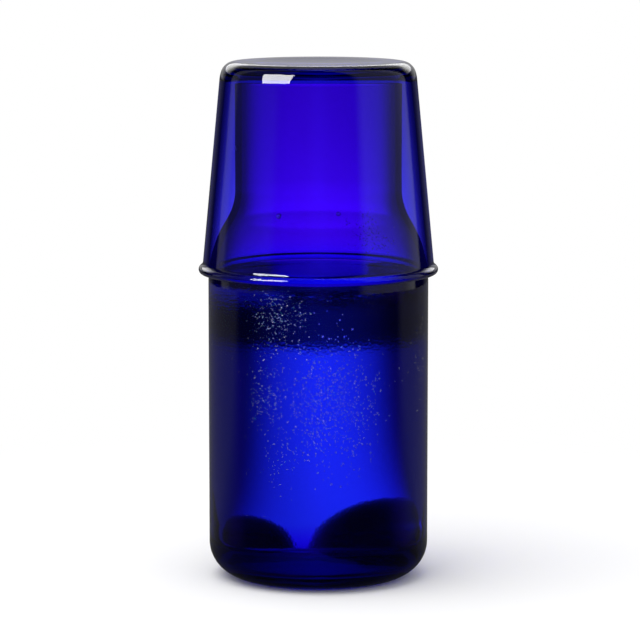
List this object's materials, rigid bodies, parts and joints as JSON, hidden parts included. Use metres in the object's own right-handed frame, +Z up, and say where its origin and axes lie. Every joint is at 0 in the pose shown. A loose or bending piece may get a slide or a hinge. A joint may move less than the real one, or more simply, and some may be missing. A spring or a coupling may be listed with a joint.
{
  "type": "bedside carafe with tumbler",
  "caption": "Round glass carafe with a straight neck, covered by an upturned tumbler whose beaded lip rests on the carafe's shoulder.",
  "frame": {"origin": "centre of the ring that the carafe stands on, at table height", "axes": "+Z up along the common axis of carafe and tumbler, +X and +Y alike because both are round"},
  "size_m": [0.087, 0.087, 0.1882],
  "materials": {
    "carafe_glass": "cobalt blue, polished, dewed outside",
    "tumbler_glass": "cobalt blue, polished"
  },
  "bodies": {
    "carafe": {"carafe": "carafe_glass"},
    "tumbler": {"tumbler": "tumbler_glass"}
  },
  "joints": [
    {"name": "tumbler_lift", "type": "slide", "parent": "carafe", "child": "tumbler", "axis": [0, 0, 1], "range_m": [0, 0.1]}
  ]
}
